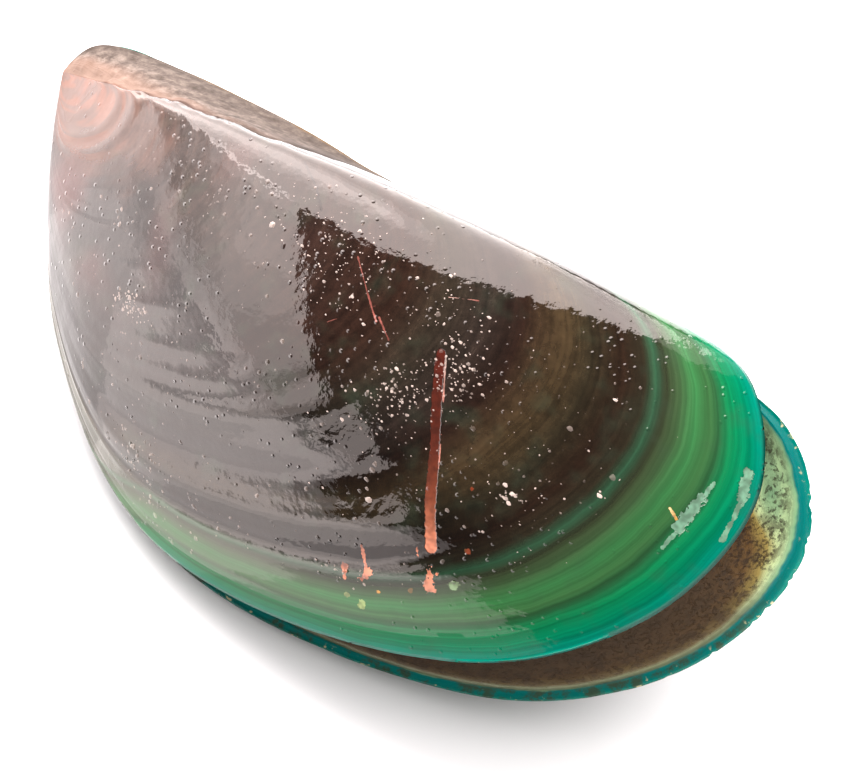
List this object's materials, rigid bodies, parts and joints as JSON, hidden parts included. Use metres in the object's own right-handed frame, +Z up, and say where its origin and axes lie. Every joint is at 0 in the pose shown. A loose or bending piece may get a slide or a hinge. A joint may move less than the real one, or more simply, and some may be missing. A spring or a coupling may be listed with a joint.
{
  "type": "mussel shell",
  "caption": "Whole empty green mussel shell lying on its side: hollow pointed-oval valves joined along the hinge by a ligament, gaping at the far end.",
  "frame": {"origin": "under the middle of the shell's box, on the surface that it lies on", "axes": "+X from the beak to the posterior end, +Y to the ventral side, +Z up; the shell lies on its left valve with the ventral side raised"},
  "size_m": [0.0906, 0.0486, 0.0456],
  "materials": {
    "left_valve": "gloss",
    "right_valve": "gloss",
    "ligament": "satin"
  },
  "bodies": {
    "root": {"left_valve": "left_valve", "right_valve": "right_valve", "ligament": "ligament"}
  },
  "joints": []
}
